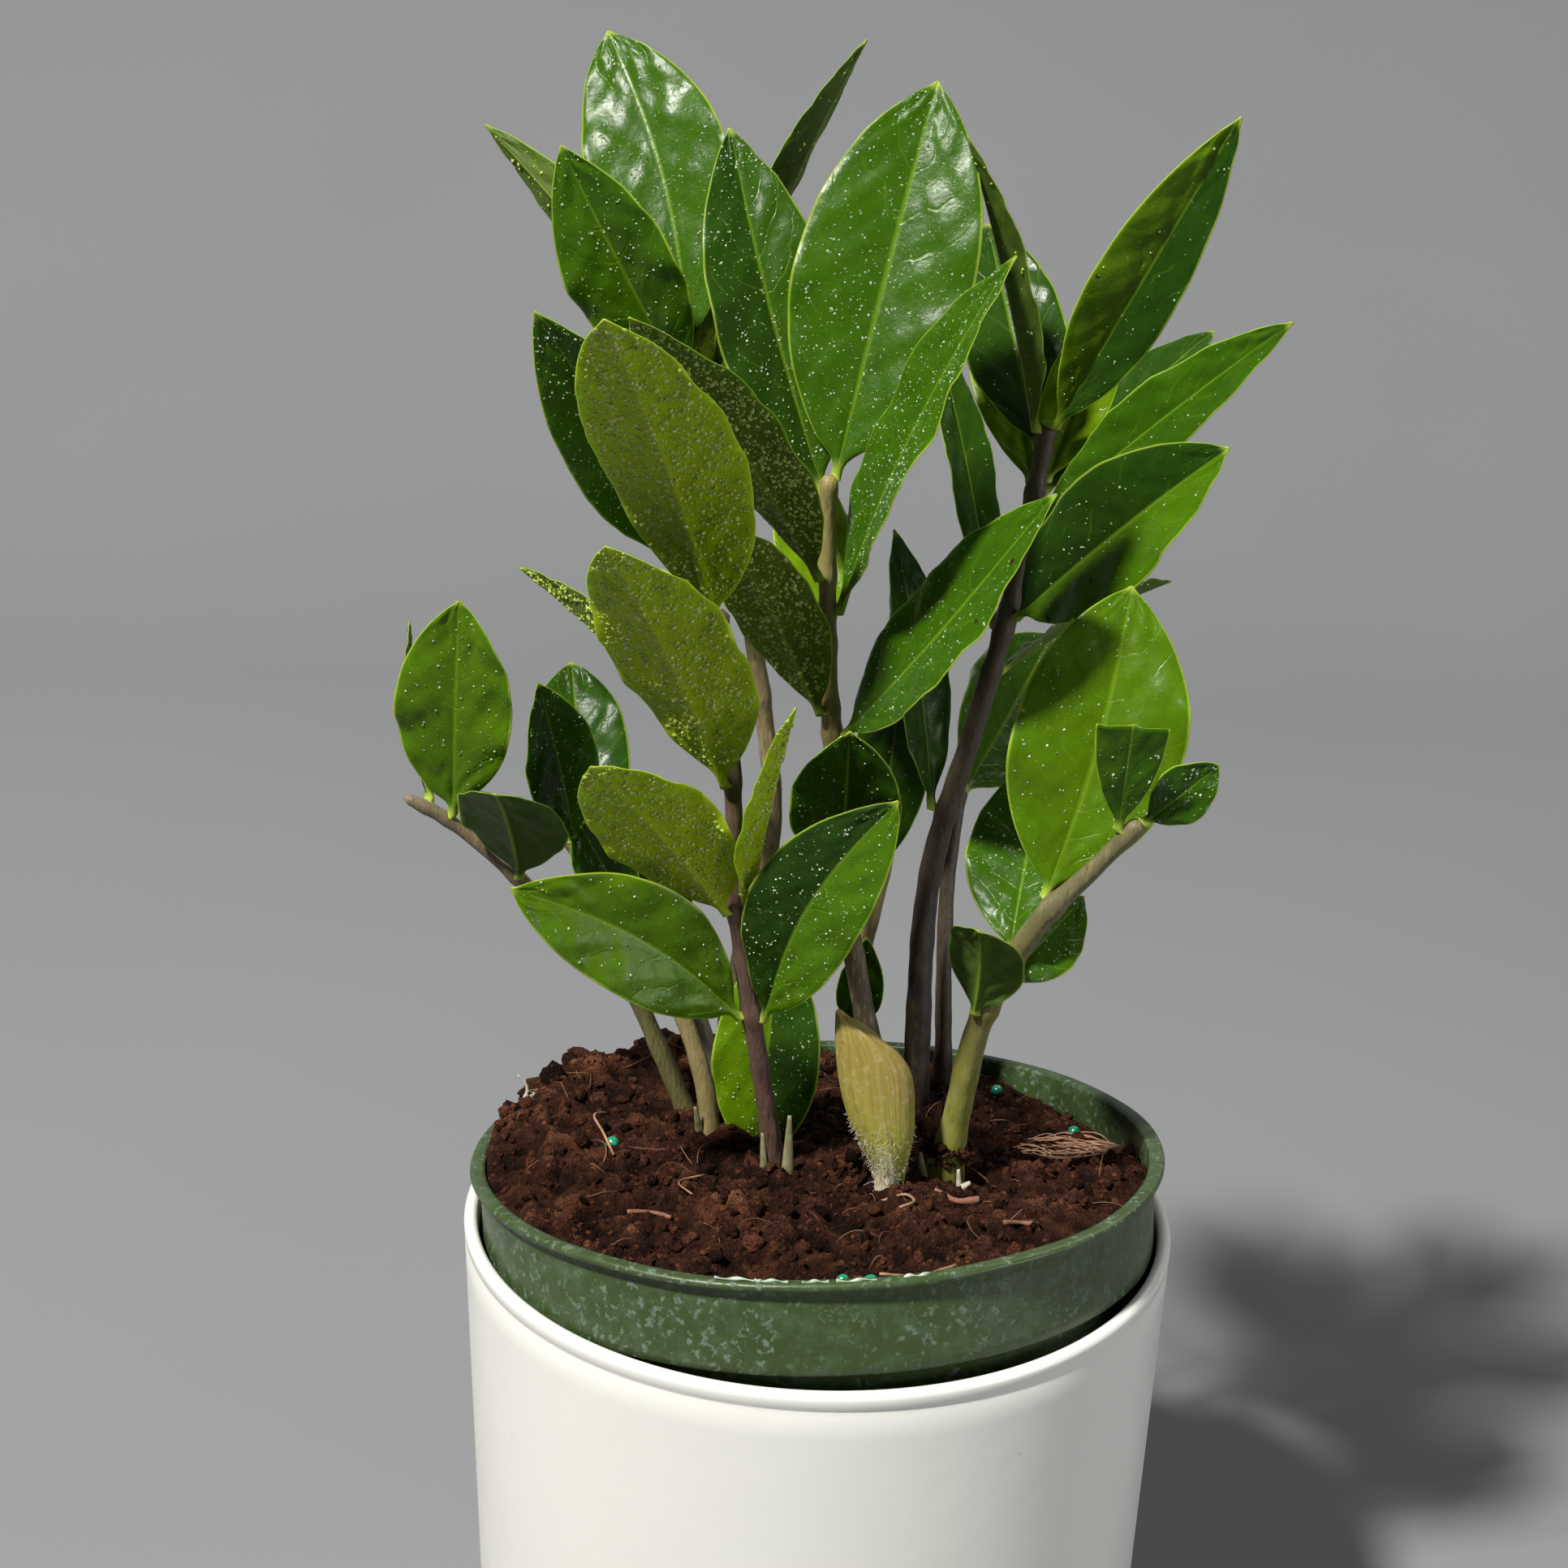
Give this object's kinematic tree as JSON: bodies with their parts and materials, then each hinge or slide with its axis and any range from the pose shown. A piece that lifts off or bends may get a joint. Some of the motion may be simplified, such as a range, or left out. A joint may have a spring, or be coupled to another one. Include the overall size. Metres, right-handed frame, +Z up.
{
  "type": "potted zz plant",
  "caption": "Zz plant with upright leafy stems and a new shoot, in soil in a green nursery pot that sits tilted inside a white round cachepot.",
  "frame": {"origin": "centre of the cachepot's underside", "axes": "+Z up, -Y towards the front of the plant, +X to its right seen from the front"},
  "size_m": [0.1797, 0.188, 0.3839],
  "materials": {
    "cachepot_ceramic": "warm white glaze with a satin sheen",
    "nursery_plastic": "dark green moulded plastic, speckled with pale dried water marks",
    "soil": "rough red-brown peat and coir crumbs",
    "stem": "smooth matt plant skin, olive tan to dark brown",
    "leaf": "glossy waxy leaf skin, wet with fine drops, duller below",
    "sheath": "dry papery yellow-olive sheath, streaked lengthwise"
  },
  "bodies": {
    "root": {"cachepot": "cachepot_ceramic", "nursery_pot": "nursery_plastic", "soil": "soil", "stem_centre": "stem", "stem_front": "stem", "stem_back_left": "stem", "stem_right": "stem", "stem_right_back": "stem", "stem_low_right": "stem", "stem_low_left": "stem", "stem_left": "stem", "stem_left_back": "stem", "stem_back": "stem", "leaf_centre_1": "leaf", "leaf_centre_2": "leaf", "leaf_centre_3": "leaf", "leaf_centre_4": "leaf", "leaf_centre_5": "leaf", "leaf_centre_6": "leaf", "leaf_centre_7": "leaf", "leaf_centre_8": "leaf", "leaf_front_1": "leaf", "leaf_front_2": "leaf", "leaf_front_3": "leaf", "leaf_front_4": "leaf", "leaf_front_5": "leaf", "leaf_front_6": "leaf", "leaf_front_7": "leaf", "leaf_back_left_1": "leaf", "leaf_back_left_2": "leaf", "leaf_back_left_3": "leaf", "leaf_back_left_4": "leaf", "leaf_back_left_5": "leaf", "leaf_back_left_6": "leaf", "leaf_back_left_7": "leaf", "leaf_back_left_8": "leaf", "leaf_right_1": "leaf", "leaf_right_2": "leaf", "leaf_right_3": "leaf", "leaf_right_4": "leaf", "leaf_right_5": "leaf", "leaf_right_6": "leaf", "leaf_right_7": "leaf", "leaf_right_8": "leaf", "leaf_right_9": "leaf", "leaf_right_10": "leaf", "leaf_right_back_1": "leaf", "leaf_low_right_1": "leaf", "leaf_low_right_2": "leaf", "leaf_low_right_3": "leaf", "leaf_low_right_4": "leaf", "leaf_low_right_5": "leaf", "leaf_low_left_1": "leaf", "leaf_low_left_2": "leaf", "leaf_low_left_3": "leaf", "leaf_left_1": "leaf", "leaf_left_2": "leaf", "leaf_back_1": "leaf", "leaf_from_soil": "leaf", "new_shoot": "sheath"}
  },
  "joints": []
}
